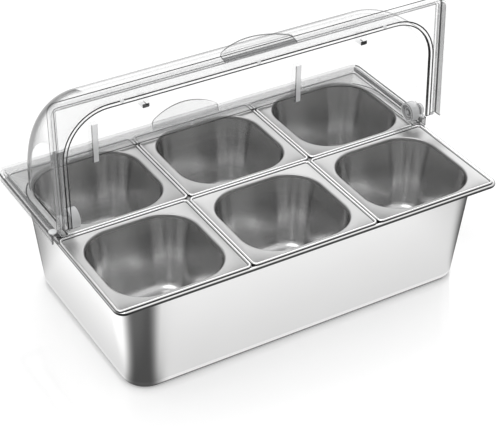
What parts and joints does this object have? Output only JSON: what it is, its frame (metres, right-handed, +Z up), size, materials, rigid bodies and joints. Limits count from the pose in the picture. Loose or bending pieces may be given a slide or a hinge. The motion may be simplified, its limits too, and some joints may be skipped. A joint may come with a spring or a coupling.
{
  "type": "chilled serving tray with hinged cover",
  "caption": "Deep steel ice pan carrying lift-out food pans in rows, under a clear two-part round cover whose front half turns back on end hinges.",
  "frame": {"origin": "middle of the underside of the ice pan", "axes": "X along the long side, positive to the right as seen from the open front; +Y to the rear, where the fixed half of the cover is; +Z up"},
  "size_m": [0.541, 0.3354, 0.3464],
  "materials": {
    "ice_pan_steel": "fine brushed sheet steel, satin",
    "food_pan_steel": "fine brushed sheet steel, satin inside, bright on the beads",
    "bar_steel": "satin folded sheet",
    "clear_cover": "clear moulded polycarbonate, glossy",
    "frosted_plastic": "clear moulded plastic, ringed"
  },
  "bodies": {
    "tray": {"base_pan": "ice_pan_steel", "front_left_pan": "food_pan_steel", "front_middle_pan": "food_pan_steel", "front_right_pan": "food_pan_steel", "rear_left_pan": "food_pan_steel", "rear_middle_pan": "food_pan_steel", "rear_right_pan": "food_pan_steel", "support_bar": "bar_steel", "rear_cover": "clear_cover", "left_hinge_pin": "frosted_plastic", "right_hinge_pin": "frosted_plastic", "left_pin_cap": "frosted_plastic", "right_pin_cap": "frosted_plastic"},
    "front_half": {"front_cover": "clear_cover"}
  },
  "joints": [
    {"name": "front_half_hinge", "type": "hinge", "parent": "tray", "child": "front_half", "pos_m": [0, 0, 0.1736], "axis": [1, 0, 0], "range_deg": [0, 92.2]}
  ]
}
